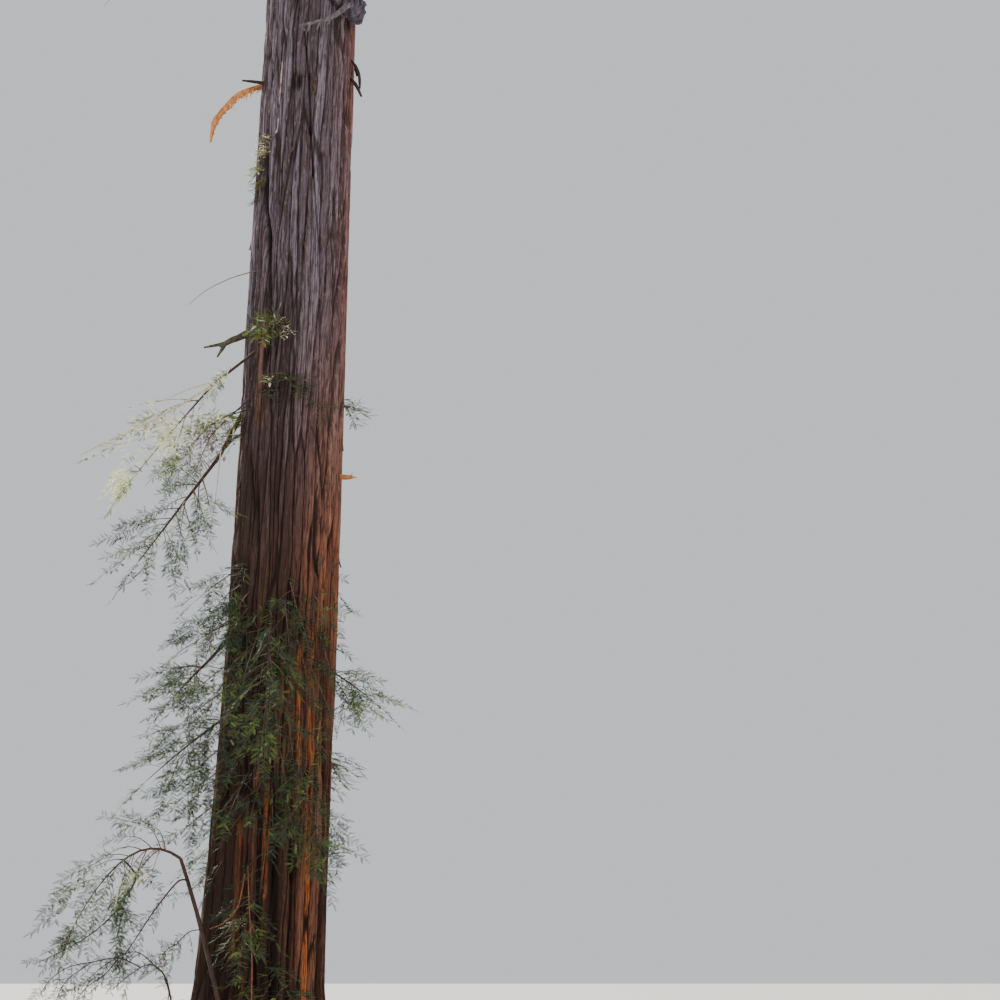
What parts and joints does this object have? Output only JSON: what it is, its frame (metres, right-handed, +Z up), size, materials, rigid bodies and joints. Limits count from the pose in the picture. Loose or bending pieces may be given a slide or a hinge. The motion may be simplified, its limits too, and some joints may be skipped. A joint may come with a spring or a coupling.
{
  "type": "coast redwood tree",
  "caption": "Tall coast redwood with a straight fluted trunk, low sprouts of flat needle sprays, dead stubs on its bare bole and a narrow crown to the tip.",
  "frame": {"origin": "middle of the flat cut under the trunk, at ground level", "axes": "+Z up along the tree, -Y towards the viewer of the picture, +X to the picture's right"},
  "size_m": [6.8535, 6.1539, 40],
  "materials": {
    "bark": "deeply ridged fibrous bark",
    "weathered_wood": "weathered dead wood",
    "raw_wood": "broken orange wood",
    "needles": "flat sprays of short needles"
  },
  "bodies": {
    "root": {"bough_back_a": "bark", "bough_back_b": "bark", "bough_crown_1_1": "bark", "bough_crown_1_2": "bark", "bough_crown_1_3": "bark", "bough_crown_1_4": "bark", "bough_crown_2_1": "bark", "bough_crown_2_2": "bark", "bough_crown_2_3": "bark", "bough_crown_2_4": "bark", "bough_droop": "bark", "bough_front": "bark", "bough_left": "bark", "bough_sprout": "bark", "bough_sunlit": "bark", "broken_limb": "raw_wood", "burl": "weathered_wood", "dead_limb": "weathered_wood", "forked_stub": "weathered_wood", "needles_back_a": "needles", "needles_back_b": "needles", "needles_base": "needles", "needles_crown_1_1": "needles", "needles_crown_1_2": "needles", "needles_crown_1_3": "needles", "needles_crown_1_4": "needles", "needles_crown_2_1": "needles", "needles_crown_2_2": "needles", "needles_crown_2_3": "needles", "needles_crown_2_4": "needles", "needles_crown_3_1": "needles", "needles_crown_3_2": "needles", "needles_crown_3_3": "needles", "needles_crown_3_4": "needles", "needles_crown_4_1": "needles", "needles_crown_4_2": "needles", "needles_crown_4_3": "needles", "needles_crown_5_1": "needles", "needles_crown_5_2": "needles", "needles_crown_5_3": "needles", "needles_crown_6_1": "needles", "needles_crown_6_2": "needles", "needles_crown_6_3": "needles", "needles_crown_7_1": "needles", "needles_crown_7_2": "needles", "needles_crown_7_3": "needles", "needles_crown_8_1": "needles", "needles_crown_8_2": "needles", "needles_droop": "needles", "needles_front": "needles", "needles_front_right": "needles", "needles_leader": "needles", "needles_left_lower": "needles", "needles_left_upper": "needles", "needles_right": "needles", "needles_sprout": "needles", "needles_sunlit": "needles", "needles_tuft": "needles", "side_stub": "raw_wood", "trunk": "bark"}
  },
  "joints": []
}
